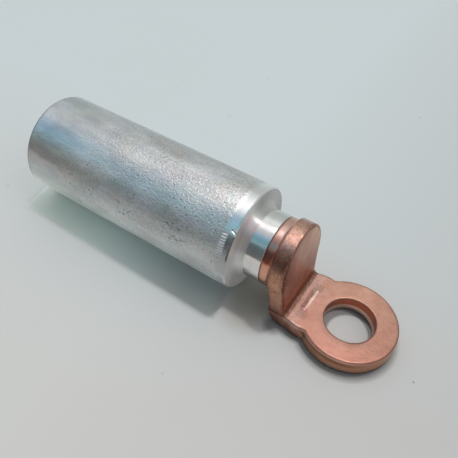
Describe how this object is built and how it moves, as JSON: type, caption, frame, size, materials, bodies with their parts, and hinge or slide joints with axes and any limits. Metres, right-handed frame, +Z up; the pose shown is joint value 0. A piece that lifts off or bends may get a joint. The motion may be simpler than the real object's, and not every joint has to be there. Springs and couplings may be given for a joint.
{
  "type": "cable lug",
  "caption": "Bimetallic cable lug: a round aluminium barrel with a blind cable bore, friction-welded to a bent copper palm with a round eye and a stud hole.",
  "frame": {"origin": "centre of the stud hole on the palm's underside, the face that meets the busbar", "axes": "+Z up out of the stud hole, +X from the barrel along the palm to its tip, +Y across the palm"},
  "size_m": [0.1427, 0.037, 0.0396],
  "materials": {
    "aluminium": "satin",
    "copper": "satin"
  },
  "bodies": {
    "root": {"aluminium_barrel": "aluminium", "copper_palm": "copper"}
  },
  "joints": []
}
